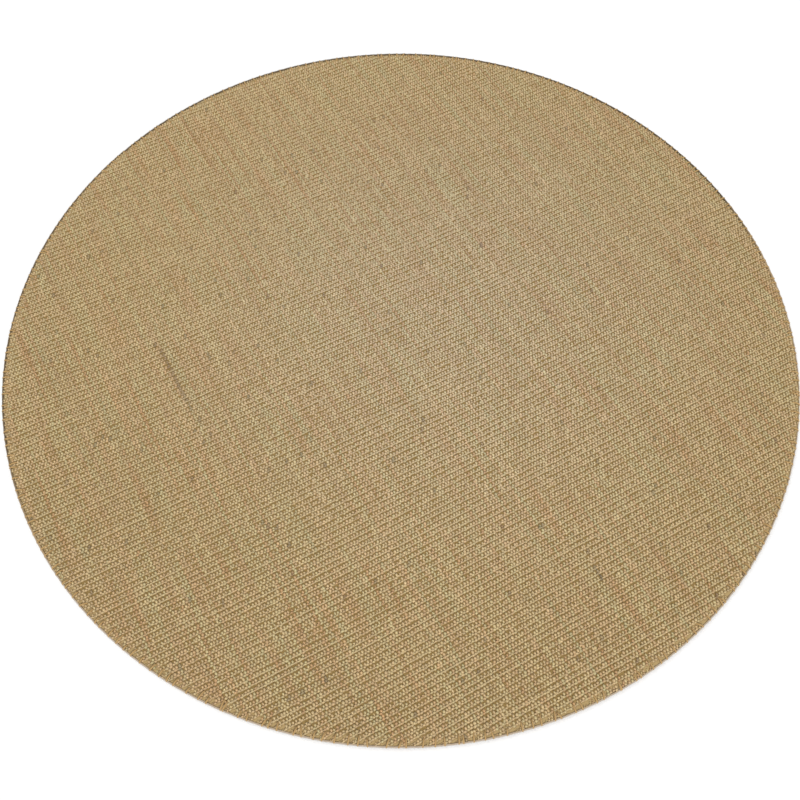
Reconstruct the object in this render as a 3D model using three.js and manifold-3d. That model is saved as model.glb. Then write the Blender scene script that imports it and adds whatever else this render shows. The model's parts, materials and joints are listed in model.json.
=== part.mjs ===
import * as THREE from 'three';
import { mergeVertices } from 'three/addons/utils/BufferGeometryUtils.js';
import Module from 'manifold-3d';

// Round sisal rug lying flat. Millimetres, +Z up, the underside on z = 0 and the middle of it
// at the origin. The ribs run along X and the looped warp yarns along Y.

// Driving dimensions
const rugRadius = 500;
const rugThickness = 6;
const ribPitch = 6.28;
const ribHeight = 1.6;
const edgingReach = 8.5;
const stitchCount = 262;
const stitchRaise = 0.6;
const yarnThickness = 0.7;
const clearance = 0.3;
const pressedThickness = 3;

// Derived sizes
const fieldRadius = rugRadius - edgingReach - clearance;
const wrapDepth = yarnThickness + stitchRaise;
const rimRadius = rugRadius - wrapDepth - clearance;
const rimBottom = yarnThickness + clearance;
const rimTop = rimBottom + pressedThickness;
const edgingTop = rimTop + clearance + yarnThickness;

// One rib in section: place along the pitch, and height as a share of the rib's own height
const ribSection = [
  { place: -0.5, rise: 0 },
  { place: -0.2, rise: 1 },
  { place: 0.2, rise: 1 },
];

const wasm = await Module();
wasm.setup();

// A closed surface as a solid: shared corners are merged and flat triangles are dropped
function toSolid(geometry) {
  const bare = geometry.clone();
  bare.deleteAttribute('normal');
  bare.deleteAttribute('uv');
  const merged = mergeVertices(bare, 1e-4);
  const corners = merged.index.array;
  const kept = [];
  for (let i = 0; i < corners.length; i += 3) {
    const [a, b, c] = [corners[i], corners[i + 1], corners[i + 2]];
    if (a !== b && b !== c && c !== a) kept.push(a, b, c);
  }
  const vertProperties = new Float32Array(merged.attributes.position.array);
  const triVerts = new Uint32Array(kept);
  return new wasm.Manifold(new wasm.Mesh({ numProp: 3, vertProperties, triVerts }));
}

function toGeometry(solid) {
  const mesh = solid.getMesh();
  const geometry = new THREE.BufferGeometry();
  geometry.setAttribute('position', new THREE.BufferAttribute(mesh.vertProperties, 3));
  geometry.setIndex(new THREE.BufferAttribute(mesh.triVerts, 1));
  geometry.computeVertexNormals();
  return geometry;
}

// A section of radius and height points, turned about the vertical axis
function turned(section, steps) {
  const points = section.map(([radius, height]) => new THREE.Vector2(radius, height));
  return new THREE.LatheGeometry(points, steps).rotateX(Math.PI / 2);
}

// Slab whose top face carries every rib of the weave from one side of the rug to the other
function ribbedSlab() {
  const ribsEachWay = Math.ceil(rugRadius / ribPitch);
  const valleyHeight = rugThickness - ribHeight;
  const halfWidth = (ribsEachWay + 0.5) * ribPitch;
  const outline = new THREE.Shape();
  outline.moveTo(-halfWidth, 0);
  outline.lineTo(halfWidth, 0);
  outline.lineTo(halfWidth, valleyHeight);
  for (let rib = ribsEachWay; rib >= -ribsEachWay; rib -= 1) {
    for (const { place, rise } of [...ribSection].reverse()) {
      outline.lineTo((rib + place) * ribPitch, valleyHeight + rise * ribHeight);
    }
  }
  outline.closePath();
  const slab = new THREE.ExtrudeGeometry(outline, { depth: 2 * halfWidth, bevelEnabled: false });
  slab.translate(0, 0, -halfWidth);
  const acrossToY = new THREE.Matrix4().makeBasis(
    new THREE.Vector3(0, 1, 0),
    new THREE.Vector3(0, 0, 1),
    new THREE.Vector3(1, 0, 0),
  );
  return slab.applyMatrix4(acrossToY);
}

// The woven field: full thickness inside the edging, pressed thinner where the edging grips it
function wovenField() {
  const aboveRibs = rugThickness + 1;
  const envelope = turned([
    [0, 0],
    [fieldRadius, 0],
    [fieldRadius, rimBottom],
    [rimRadius, rimBottom],
    [rimRadius, rimTop],
    [fieldRadius, rimTop],
    [fieldRadius, aboveRibs],
    [0, aboveRibs],
  ], stitchCount);
  return toGeometry(toSolid(ribbedSlab()).intersect(toSolid(envelope)));
}

// The overlocked edging: a channel of yarn round the rim, with a raised wrap at every stitch
function overlockEdging() {
  const innerRadius = rugRadius - edgingReach;
  const gripRadius = rimRadius + clearance;
  const gripTop = rimTop + clearance;
  const bottomCorner = rugRadius - wrapDepth;
  const middleHeight = edgingTop / 2;
  const geometry = turned([
    [innerRadius, 0],
    [bottomCorner, 0],
    [rugRadius, middleHeight],
    [bottomCorner, edgingTop + stitchRaise],
    [innerRadius, edgingTop + stitchRaise],
    [innerRadius, gripTop],
    [gripRadius, gripTop],
    [gripRadius, yarnThickness],
    [innerRadius, yarnThickness],
    [innerRadius, 0],
  ], 2 * stitchCount);
  return pressedBetweenStitches(geometry);
}

// Between two stitches the yarn lies lower on the top face and further in at the rim
function pressedBetweenStitches(geometry) {
  const position = geometry.attributes.position;
  for (let i = 0; i < position.count; i += 1) {
    const angle = Math.atan2(position.getY(i), position.getX(i));
    const dip = stitchRaise * (1 - Math.cos(stitchCount * angle)) / 2;
    const radius = Math.hypot(position.getX(i), position.getY(i));
    const atRim = radius > rugRadius - stitchRaise;
    const onTop = position.getZ(i) > edgingTop;
    const inward = atRim ? 1 - dip / radius : 1;
    position.setX(i, position.getX(i) * inward);
    position.setY(i, position.getY(i) * inward);
    if (onTop) position.setZ(i, position.getZ(i) - dip);
  }
  return toGeometry(toSolid(geometry));
}

function piece(name, geometry, color, roughness) {
  const material = new THREE.MeshStandardMaterial({ color, roughness, metalness: 0 });
  const mesh = new THREE.Mesh(geometry, material);
  mesh.name = name;
  return mesh;
}

const rug = new THREE.Group();
rug.add(piece('woven_field', wovenField(), '#a8936a', 0.95));
rug.add(piece('overlock_edging', overlockEdging(), '#a98a52', 0.85));

export default rug;
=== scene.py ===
import bpy, bmesh, json, math, random
from mathutils import Matrix, Vector, noise

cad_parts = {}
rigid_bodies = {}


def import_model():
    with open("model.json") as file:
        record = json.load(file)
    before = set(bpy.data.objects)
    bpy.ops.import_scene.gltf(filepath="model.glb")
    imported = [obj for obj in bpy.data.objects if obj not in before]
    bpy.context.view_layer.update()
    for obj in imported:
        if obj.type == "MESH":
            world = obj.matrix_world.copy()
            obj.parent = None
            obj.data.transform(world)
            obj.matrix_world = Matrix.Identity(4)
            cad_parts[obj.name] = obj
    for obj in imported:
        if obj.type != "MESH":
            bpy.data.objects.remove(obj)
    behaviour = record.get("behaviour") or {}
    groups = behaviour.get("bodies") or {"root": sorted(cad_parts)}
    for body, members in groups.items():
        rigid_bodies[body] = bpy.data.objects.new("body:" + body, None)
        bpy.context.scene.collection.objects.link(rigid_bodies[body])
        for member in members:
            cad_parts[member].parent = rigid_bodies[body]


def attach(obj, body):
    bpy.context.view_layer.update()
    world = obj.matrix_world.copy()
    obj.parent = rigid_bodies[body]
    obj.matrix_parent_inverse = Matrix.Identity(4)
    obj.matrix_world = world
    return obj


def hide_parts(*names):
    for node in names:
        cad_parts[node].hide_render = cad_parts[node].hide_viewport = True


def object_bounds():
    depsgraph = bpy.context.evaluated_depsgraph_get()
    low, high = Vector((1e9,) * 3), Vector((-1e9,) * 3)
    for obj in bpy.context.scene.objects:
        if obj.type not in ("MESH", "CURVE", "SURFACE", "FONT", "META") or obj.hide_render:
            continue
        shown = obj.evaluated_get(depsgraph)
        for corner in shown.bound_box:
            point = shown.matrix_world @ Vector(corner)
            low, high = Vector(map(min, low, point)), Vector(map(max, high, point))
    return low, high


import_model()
cadLow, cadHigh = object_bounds()

# round sisal rug, lying flat: metres, ribs along X, looped warp yarns along Y
rugRadius = cadHigh.x
loopAcross = 0.00382  # one warp yarn to the next
ribPitch = 0.00628  # one row of loops to the next
columnLean = -0.0286  # the warp isn't quite square to the ribs
draw = random.Random(27)


def addNode(tree, kind, inputs=None, **settings):
    node = tree.nodes.new(kind)
    for name, value in settings.items():
        setattr(node, name, value)
    for name, value in (inputs or {}).items():
        if isinstance(value, bpy.types.NodeSocket):
            tree.links.new(value, node.inputs[name])
        else:
            node.inputs[name].default_value = value
    return node


def blankMaterial(name):
    material = bpy.data.materials.new(name)
    material.use_nodes = True
    material.node_tree.nodes.clear()
    return material, material.node_tree


def addSource(name, data):
    source = bpy.data.objects.new(name, data)
    bpy.context.scene.collection.objects.link(source)
    return source


# the mesh as its modifiers or bevel leave it
def bakeShape(source):
    depsgraph = bpy.context.evaluated_depsgraph_get()
    mesh = bpy.data.meshes.new_from_object(source.evaluated_get(depsgraph))
    bpy.data.objects.remove(source)
    return mesh


def meshFrom(bm, name):
    mesh = bpy.data.meshes.new(name)
    bm.to_mesh(mesh)
    bm.free()
    return mesh


# a bevelled curve for a yarn, still without its splines
def yarnCurve(name, radius, roundness):
    curve = bpy.data.curves.new(name, "CURVE")
    curve.dimensions = "3D"
    curve.bevel_depth = radius
    curve.bevel_resolution = roundness
    curve.use_fill_caps = True
    return curve


def placePiece(name, mesh, material):
    piece = addSource(name, mesh)
    piece.data.materials.clear()
    piece.data.materials.append(material)
    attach(piece, "root")
    return piece


# one smooth mesh of several curves, with the values each one carries
def joinCurves(name, curves):
    bm = bmesh.new()
    for curve, values in curves:
        mesh = bakeShape(addSource(name, curve))
        before = len(bm.verts)
        bm.from_mesh(mesh)
        for key, value in values.items():
            layer = bm.verts.layers.float.get(key) or bm.verts.layers.float.new(key)
            bm.verts.ensure_lookup_table()
            for vert in bm.verts[before:]:
                vert[layer] = value
        bpy.data.meshes.remove(mesh)
    for face in bm.faces:
        face.smooth = True
    return meshFrom(bm, name)


# materials

sisal = {
    "green": (0.466, 0.402, 0.228, 1),
    "straw": (0.497, 0.399, 0.224, 1),
    "tan": (0.507, 0.373, 0.216, 1),
    "rust": (0.455, 0.293, 0.155, 1),
    "strawAt": 0.35,  # places on the dye ramp, from green at 0 to rust at 1
    "tanAt": 0.65,
    "paintedRootShade": (0.68, 0.52, 0.25, 1),  # painted shade between the loops, darker and more golden towards the ground
    "rootHeight": 0.0036,  # painted shade is full from here down
    "crestHeight": 0.0050,  # no painted shade from here up
    "fibre": {"Scale": 1400, "Detail": 2, "Roughness": 0.6},
    "fibreStretch": 0.16,
    "fibreTurn": -12,
    "fibreShade": 0.14,
    "lump": {"Scale": 620, "Detail": 1},
    "lumpShade": 0.40,
    "sheenMiddle": (0.08, 0.02, 0.005),  # middle of a painted sheen, the greyest place
    "sheenReach": 0.50,
    "sheenSaturation": 0.89,
    "edgeSaturation": 1.10,
    "paintedLightMiddle": (-0.02, -0.20, 0.005),  # middle of a painted pool of light, the lightest place
    "paintedLightReach": 0.66,
    "paintedLightValue": 1.06,
    "edgeValue": 0.965,
    "bump": {"Strength": 0.4, "Distance": 0.0002},
    "finish": {"Roughness": 0.55, "Specular IOR Level": 0.5,
               "Sheen Weight": 0.15, "Sheen Roughness": 0.5},
}


# noise as a shade: nought on average, and at most the given amount either way
def shadeBy(tree, texture, amount):
    return addNode(tree, "ShaderNodeMath", {
        0: texture.outputs["Fac"], 1: 2 * amount, 2: -amount}, operation="MULTIPLY_ADD")


# a value that changes smoothly with the distance from one place on the rug
def changeFrom(tree, place, middle, reach, atMiddle, atEdge):
    away = addNode(tree, "ShaderNodeVectorMath", {
        0: place.outputs["Object"], 1: middle}, operation="DISTANCE")
    return addNode(tree, "ShaderNodeMapRange", {
        "Value": away.outputs["Value"], "From Max": reach,
        "To Min": atMiddle, "To Max": atEdge}, interpolation_type="SMOOTHSTEP")


def sisalMaterial():
    material, tree = blankMaterial("loopedSisal")
    place = addNode(tree, "ShaderNodeTexCoord")
    tone = addNode(tree, "ShaderNodeAttribute", attribute_name="tone")
    dye = addNode(tree, "ShaderNodeAttribute", attribute_name="dye")
    ramp = addNode(tree, "ShaderNodeValToRGB", {"Fac": dye.outputs["Fac"]})
    stops = ramp.color_ramp.elements
    stops[0].position, stops[0].color = 0.0, sisal["green"]
    stops[1].position, stops[1].color = 1.0, sisal["rust"]
    for position, name in ((sisal["strawAt"], "straw"), (sisal["tanAt"], "tan")):
        stops.new(position).color = sisal[name]
    along = addNode(tree, "ShaderNodeMapping", {
        "Vector": place.outputs["Object"],
        "Rotation": (0, 0, math.radians(sisal["fibreTurn"])),
        "Scale": (1, sisal["fibreStretch"], 1)})
    fibre = addNode(tree, "ShaderNodeTexNoise", {
        "Vector": along.outputs["Vector"], **sisal["fibre"]})
    lump = addNode(tree, "ShaderNodeTexNoise", {
        "Vector": place.outputs["Object"], **sisal["lump"]})
    fibreShade = shadeBy(tree, fibre, sisal["fibreShade"])
    lumpShade = shadeBy(tree, lump, sisal["lumpShade"])
    mottle = addNode(tree, "ShaderNodeMath", {
        0: fibreShade.outputs[0], 1: lumpShade.outputs[0]}, operation="ADD")
    value = addNode(tree, "ShaderNodeMath", {
        0: tone.outputs["Fac"], 1: mottle.outputs[0]}, operation="ADD")
    # painted sheen: the colour greys towards one place in the middle
    sheenGreyed = changeFrom(tree, place, sisal["sheenMiddle"], sisal["sheenReach"],
                       sisal["sheenSaturation"], sisal["edgeSaturation"])
    # painted pool of light: the colour grows lighter towards one place
    paintedLight = changeFrom(tree, place, sisal["paintedLightMiddle"], sisal["paintedLightReach"],
                           sisal["paintedLightValue"], sisal["edgeValue"])
    shown = addNode(tree, "ShaderNodeMath", {
        0: value.outputs[0], 1: paintedLight.outputs["Result"]}, operation="MULTIPLY")
    colour = addNode(tree, "ShaderNodeHueSaturation", {
        "Color": ramp.outputs["Color"], "Saturation": sheenGreyed.outputs["Result"],
        "Value": shown.outputs[0]})
    # painted shade: darker and more golden towards the ground, between the loops
    height = addNode(tree, "ShaderNodeSeparateXYZ", {"Vector": place.outputs["Object"]})
    depth = addNode(tree, "ShaderNodeMapRange", {
        "Value": height.outputs["Z"], "From Min": sisal["crestHeight"],
        "From Max": sisal["rootHeight"]})
    rootShaded = addNode(tree, "ShaderNodeMix", {"Factor": depth.outputs["Result"]},
                     data_type="RGBA", blend_type="MULTIPLY")
    tree.links.new(colour.outputs["Color"], rootShaded.inputs[6])
    rootShaded.inputs[7].default_value = sisal["paintedRootShade"]
    bump = addNode(tree, "ShaderNodeBump", {"Height": fibre.outputs["Fac"], **sisal["bump"]})
    shader = addNode(tree, "ShaderNodeBsdfPrincipled", {
        "Base Color": rootShaded.outputs[2], "Normal": bump.outputs["Normal"], **sisal["finish"]})
    addNode(tree, "ShaderNodeOutputMaterial", {"Surface": shader.outputs["BSDF"]})
    return material


thread = {
    "light": (0.52, 0.345, 0.150, 1),
    "dark": (0.30, 0.190, 0.080, 1),
    "ply": {"Scale": 900, "Detail": 2},
    "bump": {"Strength": 0.4, "Distance": 0.0002},
    "finish": {"Roughness": 0.7, "Specular IOR Level": 0.3, "Sheen Weight": 0.15},
}


def threadMaterial():
    material, tree = blankMaterial("edgingYarn")
    place = addNode(tree, "ShaderNodeTexCoord")
    ply = addNode(tree, "ShaderNodeTexNoise", {
        "Vector": place.outputs["Object"], **thread["ply"]})
    mix = addNode(tree, "ShaderNodeMix", {"Factor": ply.outputs["Fac"]}, data_type="RGBA")
    mix.inputs[6].default_value = thread["dark"]
    mix.inputs[7].default_value = thread["light"]
    tone = addNode(tree, "ShaderNodeAttribute", attribute_name="tone")
    dye = addNode(tree, "ShaderNodeAttribute", attribute_name="dye")
    colour = addNode(tree, "ShaderNodeHueSaturation", {
        "Color": mix.outputs[2], "Saturation": dye.outputs["Fac"],
        "Value": tone.outputs["Fac"]})
    bump = addNode(tree, "ShaderNodeBump", {"Height": ply.outputs["Fac"], **thread["bump"]})
    shader = addNode(tree, "ShaderNodeBsdfPrincipled", {
        "Base Color": colour.outputs["Color"], "Normal": bump.outputs["Normal"],
        **thread["finish"]})
    addNode(tree, "ShaderNodeOutputMaterial", {"Surface": shader.outputs["BSDF"]})
    return material


base = {
    "shadow": (0.165, 0.106, 0.034, 1),
    "cloth": (0.335, 0.225, 0.080, 1),
    "rim": (0.385, 0.278, 0.128, 1),  # paler under the edging, where fewer loops stand over it: less painted shade than in the field
    "rimFrom": 0.4870,
    "rimTo": 0.4920,
    "weave": {"Scale": 500, "Detail": 3},
    "bump": {"Strength": 0.5, "Distance": 0.0003},
    "finish": {"Roughness": 0.9, "Specular IOR Level": 0.2},
}


def groundMaterial():
    material, tree = blankMaterial("groundCloth")
    place = addNode(tree, "ShaderNodeTexCoord")
    weave = addNode(tree, "ShaderNodeTexNoise", {
        "Vector": place.outputs["Object"], **base["weave"]})
    mix = addNode(tree, "ShaderNodeMix", {"Factor": weave.outputs["Fac"]}, data_type="RGBA")
    mix.inputs[6].default_value = base["shadow"]
    mix.inputs[7].default_value = base["cloth"]
    out = addNode(tree, "ShaderNodeVectorMath", {0: place.outputs["Object"]}, operation="LENGTH")
    # less painted shade: the cloth turns paler near the edge, where fewer loops stand over it
    atRim = addNode(tree, "ShaderNodeMapRange", {
        "Value": out.outputs["Value"], "From Min": base["rimFrom"], "From Max": base["rimTo"]})
    rimLessShaded = addNode(tree, "ShaderNodeMix", {
        "Factor": atRim.outputs["Result"]}, data_type="RGBA")
    tree.links.new(mix.outputs[2], rimLessShaded.inputs[6])
    rimLessShaded.inputs[7].default_value = base["rim"]
    bump = addNode(tree, "ShaderNodeBump", {"Height": weave.outputs["Fac"], **base["bump"]})
    shader = addNode(tree, "ShaderNodeBsdfPrincipled", {
        "Base Color": rimLessShaded.outputs[2], "Normal": bump.outputs["Normal"], **base["finish"]})
    addNode(tree, "ShaderNodeOutputMaterial", {"Surface": shader.outputs["BSDF"]})
    return material


sisalLook = sisalMaterial()
threadLook = threadMaterial()
groundLook = groundMaterial()
print("materials made")

# ground cloth: the woven base with its bonded back, thinner where the edging grips it

ground = {
    "top": 0.0038,
    "rimTop": 0.0036,
    "rimBottom": 0.0011,
    "pressed": 0.0090,  # width of the thinner rim, from the rug's edge
    "rim": 0.0020,  # the cloth ends this far inside the rug's edge
    "steps": 262,
    "weld": 1e-6,
}


def makeGround():
    bm = bmesh.new()
    fieldEdge = rugRadius - ground["pressed"]
    rimEdge = rugRadius - ground["rim"]
    section = [(0, 0), (fieldEdge, 0), (fieldEdge, ground["rimBottom"]),
               (rimEdge, ground["rimBottom"]), (rimEdge, ground["rimTop"]),
               (fieldEdge, ground["top"]), (0, ground["top"])]
    corners = [bm.verts.new((radius, 0, height)) for radius, height in section]
    edges = [bm.edges.new(pair) for pair in zip(corners, corners[1:])]
    bmesh.ops.spin(bm, geom=corners + edges, cent=(0, 0, 0), axis=(0, 0, 1),
                   angle=2 * math.pi, steps=ground["steps"], use_merge=True)
    bmesh.ops.remove_doubles(bm, verts=bm.verts, dist=ground["weld"])
    bmesh.ops.recalc_face_normals(bm, faces=bm.faces)
    return meshFrom(bm, "groundCloth")


groundCloth = placePiece("groundCloth", makeGround(), groundLook)
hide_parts("woven_field")
print("ground cloth made")

# loops: in each rib a warp yarn shows as a broad foot in front and a rounder head behind it

loop = {  # places are across, along and up from the peg, sizes are half widths
    "head": {"place": (0.0005, 0.0017, 0.0004), "size": (0.00162, 0.0022, 0.0014)},
    "foot": {"place": (-0.0009, -0.0009, 0.0006), "size": (0.0025, 0.0019, 0.0019)},
    "sink": 0.0001,  # pegs stand this far under the top of the ground cloth
    "kinds": [
        {"lean": 1.00, "width": 1.00, "rise": 1.00},
        {"lean": 1.25, "width": 0.92, "rise": 1.08},
        {"lean": 0.70, "width": 1.08, "rise": 0.92},
        {"lean": 1.10, "width": 0.88, "rise": 1.00}],
    "turnSpread": 0.12,
    "tiltSpread": 0.09,
    "sizeSpread": 0.11,
    "placeSpread": 0.00025,
    "bands": 6,  # pieces that the loops are split into, from front to back
}


def makeLoop(kind):
    bm = bmesh.new()
    head = bmesh.ops.create_icosphere(bm, subdivisions=1, radius=1)["verts"]
    foot = bmesh.ops.create_uvsphere(bm, u_segments=4, v_segments=2, radius=1,
                                     matrix=Matrix.Rotation(math.pi / 4, 4, "Z"))["verts"]
    for verts, bead in ((head, loop["head"]), (foot, loop["foot"])):
        across, along, up = bead["place"]
        wide, long, high = bead["size"]
        for vert in verts:
            vert.co.x = across * kind["lean"] + vert.co.x * wide * kind["width"]
            vert.co.y = along + vert.co.y * long
            vert.co.z = up + vert.co.z * high * kind["rise"]
    for face in bm.faces:
        face.smooth = True
    bmesh.ops.recalc_face_normals(bm, faces=bm.faces)
    return bpy.data.objects.new("loopShape", meshFrom(bm, "loop"))


# stands one of the loop shapes on every point, turned and sized by the point's own values
def scatterTree(shapes):
    tree = bpy.data.node_groups.new("standLoops", "GeometryNodeTree")
    for direction in ("INPUT", "OUTPUT"):
        tree.interface.new_socket("Geometry", in_out=direction, socket_type="NodeSocketGeometry")
    points = addNode(tree, "NodeGroupInput")
    one = addNode(tree, "GeometryNodeCollectionInfo", {
        "Collection": shapes, "Separate Children": True, "Reset Children": True})
    turn = addNode(tree, "GeometryNodeInputNamedAttribute", {"Name": "turn"},
                   data_type="FLOAT_VECTOR")
    size = addNode(tree, "GeometryNodeInputNamedAttribute", {"Name": "size"},
                   data_type="FLOAT_VECTOR")
    kind = addNode(tree, "GeometryNodeInputNamedAttribute", {"Name": "kind"}, data_type="INT")
    stand = addNode(tree, "GeometryNodeInstanceOnPoints", {
        "Points": points.outputs[0], "Instance": one.outputs["Instances"],
        "Pick Instance": True, "Instance Index": kind.outputs[0],
        "Rotation": turn.outputs[0], "Scale": size.outputs[0]})
    real = addNode(tree, "GeometryNodeRealizeInstances", {"Geometry": stand.outputs[0]})
    addNode(tree, "NodeGroupOutput", {0: real.outputs[0]})
    return tree


# no row or yarn of the weave runs quite straight
wander = {
    "rows": {"amount": 0.0032, "across": 0.30, "along": 0.30, "seed": 1.3},
    "yarns": {"amount": 0.0017, "across": 0.12, "along": 0.24, "seed": 7.7},
}


def wandered(x, y):
    rowShift, yarnShift = (
        way["amount"] * noise.noise(Vector((x / way["across"], y / way["along"], way["seed"])))
        for way in (wander["rows"], wander["yarns"]))
    return x + yarnShift, y + rowShift


yarn = {
    "toneSpread": 0.04,  # from loop to loop
    "streak": {"amount": 0.11, "step": 7.31, "length": 0.20, "seed": 3.7},  # each yarn alone
    "dye": 0.5,
    "dyeSpread": 0.05,
    "batch": {"amount": 0.70, "step": 0.8, "length": 0.12, "seed": 9.1},  # near yarns alike
    "rustShare": 0.012,  # of all loops
    "rustDye": 0.35,
    "darkShare": 0.005,
    "darkTone": 0.6,
    "rimPress": 0.82,  # height left of a loop at the rim
    "rimReach": 0.0095,
    "lastLoop": 0.0013,  # no loop comes nearer to the rug's edge
    "cutLengths": (1, 0.8, 0.6, 0.4),  # what's left of a loop at the rim
    "darkYarns": [
        {"column": -73, "from": 0.012, "to": 0.115, "tone": 0.66},
        {"column": 10, "from": -0.392, "to": -0.376, "tone": 0.60},
        {"column": 5, "from": -0.486, "to": -0.478, "tone": 0.60}],
}


# slow change of a yarn's colour along its length
def alongYarn(change, column, y):
    spot = Vector((column * change["step"], y / change["length"], change["seed"]))
    return change["amount"] * noise.noise(spot)


def loopColour(column, y):
    tone = 1 + draw.gauss(0, yarn["toneSpread"]) + alongYarn(yarn["streak"], column, y)
    dye = yarn["dye"] + draw.gauss(0, yarn["dyeSpread"]) + alongYarn(yarn["batch"], column, y)
    if draw.random() < yarn["rustShare"]:
        dye += yarn["rustDye"]
    if draw.random() < yarn["darkShare"]:
        tone *= yarn["darkTone"]
    for dark in yarn["darkYarns"]:
        if column == dark["column"] and dark["from"] < y < dark["to"]:
            tone *= dark["tone"]
    return tone, min(max(dye, 0), 1)


# the largest share of a loop that stays inside the rim, or none
def cutLength(x, y):
    for share in yarn["cutLengths"]:
        reach = max(
            math.hypot(x + bead["place"][0] * share, y + bead["place"][1] * share)
            + bead["size"][1] * share for bead in (loop["head"], loop["foot"]))
        if reach < rugRadius - yarn["lastLoop"]:
            return share
    return 0


# points where the loops of the ribs from low to high stand
def makePegs(low, high):
    columns = math.ceil(rugRadius / loopAcross)
    bm = bmesh.new()
    turn = bm.verts.layers.float_vector.new("turn")
    size = bm.verts.layers.float_vector.new("size")
    toneLayer = bm.verts.layers.float.new("tone")
    dyeLayer = bm.verts.layers.float.new("dye")
    kindLayer = bm.verts.layers.int.new("kind")
    for rib in range(low, high):
        for column in range(-columns, columns + 1):
            y = rib * ribPitch
            x, y = wandered(column * loopAcross + columnLean * y, y)
            x += draw.gauss(0, loop["placeSpread"])
            y += draw.gauss(0, loop["placeSpread"])
            tone, dye = loopColour(column, y)
            spread = [draw.gauss(1, loop["sizeSpread"]) for axis in range(3)]
            lean = [draw.gauss(0, loop["tiltSpread"]) for axis in range(2)]
            yaw = draw.gauss(0, loop["turnSpread"])
            kind = draw.randrange(len(loop["kinds"]))
            length = cutLength(x, y)
            if not length:
                continue
            spread[0] *= length
            spread[1] *= length
            radius = math.hypot(x, y)
            press = min(max((radius - rugRadius + yarn["rimReach"]) / yarn["rimReach"], 0), 1)
            spread[2] *= 1 - press * (1 - yarn["rimPress"])
            peg = bm.verts.new((x, y, ground["top"] - loop["sink"]))
            peg[turn] = (*lean, yaw)
            peg[size] = spread
            peg[toneLayer] = tone
            peg[dyeLayer] = dye
            peg[kindLayer] = kind
    return meshFrom(bm, "pegs")


def makeLoops():
    shapes = bpy.data.collections.new("loopShapes")
    for kind in loop["kinds"]:
        shapes.objects.link(makeLoop(kind))
    tree = scatterTree(shapes)
    ribs = math.ceil(rugRadius / ribPitch)
    made = []
    for band in range(loop["bands"]):
        low = -ribs + round(band * (2 * ribs + 1) / loop["bands"])
        high = -ribs + round((band + 1) * (2 * ribs + 1) / loop["bands"])
        pegs = addSource("pegs", makePegs(low, high))
        pegs.modifiers.new("stand", "NODES").node_group = tree
        mesh = bakeShape(pegs)
        piece = placePiece(f"loops_{band + 1}", mesh, sisalLook)
        made.append(piece)
        print(piece.name, len(mesh.loop_triangles), "triangles")
    for shape in list(shapes.objects):
        bpy.data.objects.remove(shape)
    bpy.data.collections.remove(shapes)
    return made


loopPieces = makeLoops()

# weft: a thick stuffer fills every rib, and a thin yarn lies along its front, under the loops

weft = {
    "step": 0.075,
    "yarns": [
        {"y": 0.0013, "z": 0.0026, "radius": 0.0016, "tone": 0.66},
        {"y": -0.0009, "z": 0.0041, "radius": 0.0009, "tone": 0.86}],
    "roundness": 0,
    "endsInside": 0.0035,  # from the rug's edge
    "spread": 0.00030,
    "dye": 0.45,
}


def weftCurve(yarnKind):
    curve = yarnCurve("weftYarns", yarnKind["radius"], weft["roundness"])
    ribs = math.ceil(rugRadius / ribPitch)
    reach = rugRadius - weft["endsInside"]
    for rib in range(-ribs, ribs + 1):
        lineY = rib * ribPitch + yarnKind["y"]
        if abs(lineY) >= reach - ribPitch / 2:
            continue
        half = math.sqrt(reach ** 2 - lineY ** 2)
        count = max(2, math.ceil(2 * half / weft["step"]) + 1)
        spline = curve.splines.new("POLY")
        spline.points.add(count - 1)
        for index, point in enumerate(spline.points):
            x, y = wandered(-half + 2 * half * index / (count - 1), lineY)
            y += draw.gauss(0, weft["spread"])
            z = yarnKind["z"] + draw.gauss(0, weft["spread"])
            point.co = (x, y, z, 1)
    return curve


def makeWeft():
    return joinCurves("weftYarns", [
        (weftCurve(yarnKind), {"tone": yarnKind["tone"], "dye": weft["dye"]})
        for yarnKind in weft["yarns"]])


weftYarns = placePiece("weftYarns", makeWeft(), sisalLook)
print("weft laid,", len(weftYarns.data.loop_triangles), "triangles")

# overlocking: yarn stitched in from the rim, over it and back along the underside

stitch = {
    "count": 262,
    "radius": 0.00095,
    "roundness": 1,
    "spacingSpread": 0.22,  # share of a stitch
    "reach": 0.0085,
    "reachSpread": 0.0012,
    "slant": 0.00048,  # the inner end's shift along the rim
    "slantSpread": 0.0012,
    "tone": 0.98,
    "dye": 1.05,
    "path": [  # in from the rim, height
        (1.0, 0.0040), (0.86, 0.0058), (0.5, 0.0061), (0.18, 0.0055),
        (0.05, 0.0044), (0.0, 0.0030), (0.06, 0.0017), (0.2, 0.0010), (0.8, 0.0010)],
}


def makeStitches():
    curve = yarnCurve("edgeStitches", stitch["radius"], stitch["roundness"])
    for number in range(stitch["count"]):
        angle = 2 * math.pi * (number + draw.gauss(0, stitch["spacingSpread"])) / stitch["count"]
        reach = stitch["reach"] + draw.gauss(0, stitch["reachSpread"])
        slant = draw.gauss(stitch["slant"], stitch["slantSpread"])
        spline = curve.splines.new("POLY")
        spline.points.add(len(stitch["path"]) - 1)
        for point, (share, height) in zip(spline.points, stitch["path"]):
            radius = rugRadius - stitch["radius"] - share * reach
            turn = angle + slant * share / rugRadius
            point.co = (radius * math.cos(turn), radius * math.sin(turn), height, 1)
    return joinCurves("edgeStitches", [(curve, {"tone": stitch["tone"], "dye": stitch["dye"]})])


edgeStitches = placePiece("edgeStitches", makeStitches(), threadLook)
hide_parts("overlock_edging")

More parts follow.
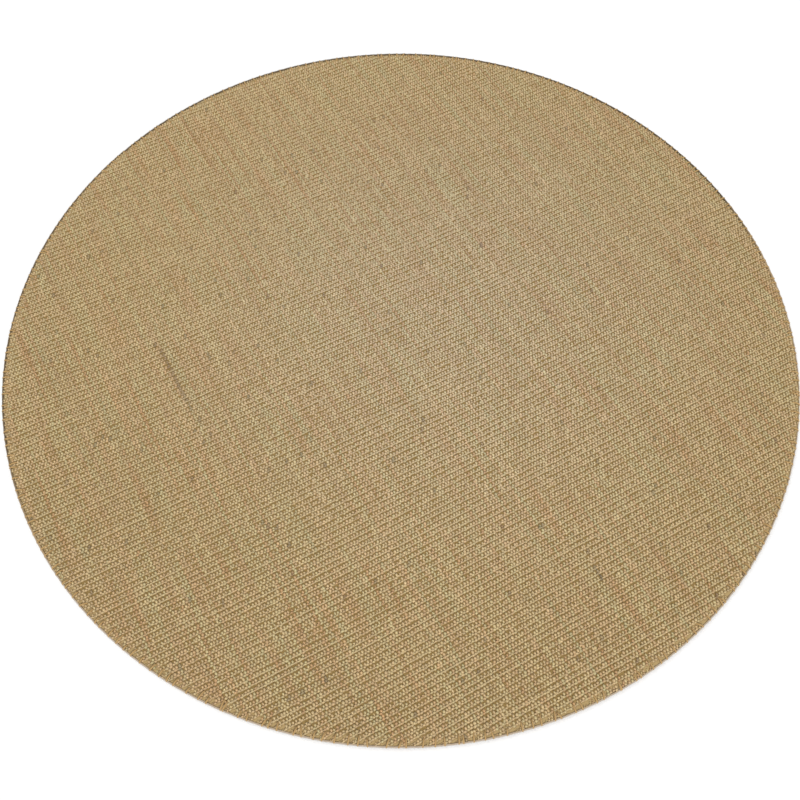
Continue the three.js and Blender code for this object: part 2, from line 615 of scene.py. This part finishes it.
looper = {
    "steps": 3,  # points for each stitch
    "roundness": 1,
    "strands": [  # arcs of the rim in stitches, each with its own tone; the two top strands are darkest from stitch -2 to 126, on the rim's side away from the camera
        {"in": 0.0031, "height": 0.0049, "wave": 0.0002, "radius": 0.0011, "dye": 0.9,
         "arcs": [{"from": -14, "to": -10, "tone": 0.85},
                  {"from": -10, "to": -6, "tone": 0.62},
                  {"from": -6, "to": -2, "tone": 0.42},
                  {"from": -2, "to": 84, "tone": 0.25}]},
        {"in": 0.0022, "height": 0.0047, "wave": 0.0002, "radius": 0.0010, "dye": 0.9,
         "arcs": [{"from": 84, "to": 126, "tone": 0.33},
                  {"from": 126, "to": 130, "tone": 0.50},
                  {"from": 130, "to": 134, "tone": 0.70},
                  {"from": 134, "to": 138, "tone": 0.88}]},
        {"in": 0.0015, "height": 0.0040, "wave": 0.0004, "radius": 0.0007, "dye": 0.6,
         "arcs": [{"from": 126, "to": 260, "tone": 0.98}]},
        {"in": 0.0009, "height": 0.0026, "wave": 0.0004, "radius": 0.0006, "dye": 0.35,
         "arcs": [{"from": 0, "to": 262, "tone": 1.12}]},
        {"in": 0.0014, "height": 0.0011, "wave": 0.0003, "radius": 0.0006, "dye": 0.35,
         "arcs": [{"from": 0, "to": 262, "tone": 1.12}]}],
}


def looperCurve(strand, arc):
    curve = yarnCurve("edgeLooper", strand["radius"], looper["roundness"])
    count = (arc["to"] - arc["from"]) * looper["steps"]
    whole = arc["to"] - arc["from"] == stitch["count"]
    spline = curve.splines.new("POLY")
    spline.points.add(count - 1 if whole else count)
    spline.use_cyclic_u = whole
    for index, point in enumerate(spline.points):
        step = arc["from"] * looper["steps"] + index
        angle = 2 * math.pi * step / (stitch["count"] * looper["steps"])
        wave = strand["wave"] * math.sin(2 * math.pi * step / looper["steps"])
        radius = rugRadius - strand["in"] - abs(wave) / 2
        point.co = (radius * math.cos(angle), radius * math.sin(angle),
                    strand["height"] + wave, 1)
    return curve


def makeLooper():
    return joinCurves("edgeLooper", [
        (looperCurve(strand, arc), {"tone": arc["tone"], "dye": strand["dye"]})
        for strand in looper["strands"] for arc in strand["arcs"]])


edgeLooper = placePiece("edgeLooper", makeLooper(), threadLook)
print("edge overlocked")

# floor, light and camera: two wide suns and a pale world, so that the floor is evenly lit

studio = {
    "floorSize": 40,
    "floorColour": (0.83, 0.83, 0.83, 1),
    "floorFinish": {"Roughness": 0.9, "Specular IOR Level": 0.1},
    "worldColour": (1, 1, 1, 1),
    "world": 0.50,
    "key": {"from": (-0.20, -0.98, 1.05), "angle": 26, "strength": 2.42},
    "fill": {"from": (-0.30, 0.95, 1.45), "angle": 40, "strength": 0.76},
}


def makeFloor():
    bm = bmesh.new()
    bmesh.ops.create_grid(bm, x_segments=1, y_segments=1, size=studio["floorSize"] / 2)
    mesh = meshFrom(bm, "floor")
    material, tree = blankMaterial("paleFloor")
    shader = addNode(tree, "ShaderNodeBsdfPrincipled", {
        "Base Color": studio["floorColour"], **studio["floorFinish"]})
    addNode(tree, "ShaderNodeOutputMaterial", {"Surface": shader.outputs["BSDF"]})
    mesh.materials.append(material)
    addSource("floor", mesh)


def makeLight(name, settings):
    light = bpy.data.lights.new(name, "SUN")
    light.angle = math.radians(settings["angle"])
    light.energy = settings["strength"]
    lamp = addSource(name, light)
    lamp.location = settings["from"]
    lamp.rotation_euler = (-Vector(settings["from"])).to_track_quat("-Z", "Y").to_euler()


def makeWorld():
    world = bpy.data.worlds.new("studio")
    bpy.context.scene.world = world
    world.use_nodes = True
    background = world.node_tree.nodes["Background"]
    background.inputs["Color"].default_value = studio["worldColour"]
    background.inputs["Strength"].default_value = studio["world"]


makeFloor()
makeLight("key", studio["key"])
makeLight("fill", studio["fill"])
makeWorld()
bpy.context.scene.view_settings.view_transform = "Standard"

view = {
    "lens": 39.90,
    "sensor": 36,
    "elevation": 62.6,
    "ribTurn": 27.43,  # the ribs' turn from the photo's horizontal
    "distance": 2.17317,  # in radii of the rug
    "aim": (-0.00195, -0.20050),  # from the middle, in radii, photo's right and away
    "aimHeight": 0.0042,
}


def makeCamera():
    camera = bpy.data.cameras.new("camera")
    camera.lens = view["lens"]
    camera.sensor_width = view["sensor"]
    eye = addSource("camera", camera)
    turn = Matrix.Rotation(math.radians(-view["ribTurn"]), 3, "Z")
    elevation = math.radians(view["elevation"])
    back = turn @ Vector((0, -math.cos(elevation), math.sin(elevation)))
    aim = turn @ Vector((*view["aim"], 0)) * rugRadius + Vector((0, 0, view["aimHeight"]))
    eye.location = aim + back * view["distance"] * rugRadius
    eye.rotation_euler = (-back).to_track_quat("-Z", "Y").to_euler()
    bpy.context.scene.camera = eye


makeCamera()
print("studio ready")
